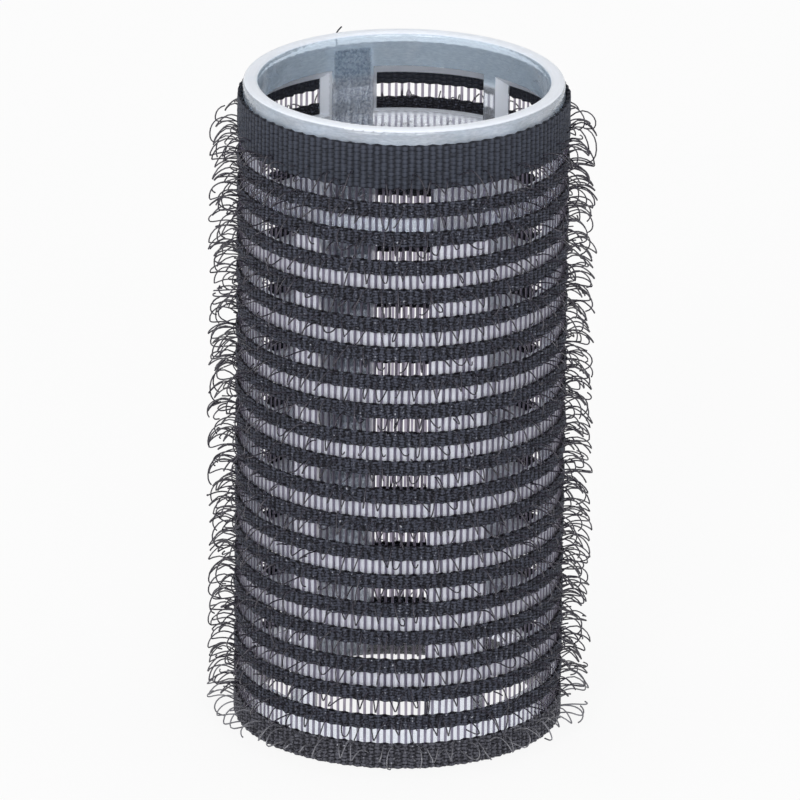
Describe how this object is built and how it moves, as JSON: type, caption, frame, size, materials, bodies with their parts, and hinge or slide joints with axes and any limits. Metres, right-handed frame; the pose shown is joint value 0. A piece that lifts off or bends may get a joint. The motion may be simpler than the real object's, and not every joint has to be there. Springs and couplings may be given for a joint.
{
  "type": "hair roller",
  "caption": "Self-gripping hair roller: a moulded plastic sleeve with rows of windows, wrapped in woven hook tape whose fine loops hold the hair without a clip.",
  "frame": {"origin": "centre of the lower end, on the surface that the roller stands on", "axes": "+Z along the roller's axis towards the end with the smooth woven edge, +Y towards the back of the pictured view"},
  "size_m": [0.036, 0.036, 0.063],
  "materials": {
    "frosted_plastic": "translucent frosted moulding, pale blue-grey",
    "hot_melt": "clear hot-melt with a rough squeezed surface",
    "weft_yarn": "smoky grey monofilament yarn",
    "woven_tape": "black woven nylon with hooks of the same filament"
  },
  "bodies": {
    "root": {"core": "frosted_plastic", "seam_glue": "hot_melt", "weft_yarns": "weft_yarn", "top_selvedge": "woven_tape", "hook_band_01": "woven_tape", "hook_band_02": "woven_tape", "hook_band_03": "woven_tape", "hook_band_04": "woven_tape", "hook_band_05": "woven_tape", "hook_band_06": "woven_tape", "hook_band_07": "woven_tape", "hook_band_08": "woven_tape", "hook_band_09": "woven_tape", "hook_band_10": "woven_tape", "hook_band_11": "woven_tape", "hook_band_12": "woven_tape", "hook_band_13": "woven_tape", "hook_band_14": "woven_tape", "hook_band_15": "woven_tape", "hook_band_16": "woven_tape", "hook_band_17": "woven_tape", "hook_band_18": "woven_tape", "hook_band_19": "woven_tape", "bottom_border": "woven_tape"}
  },
  "joints": []
}
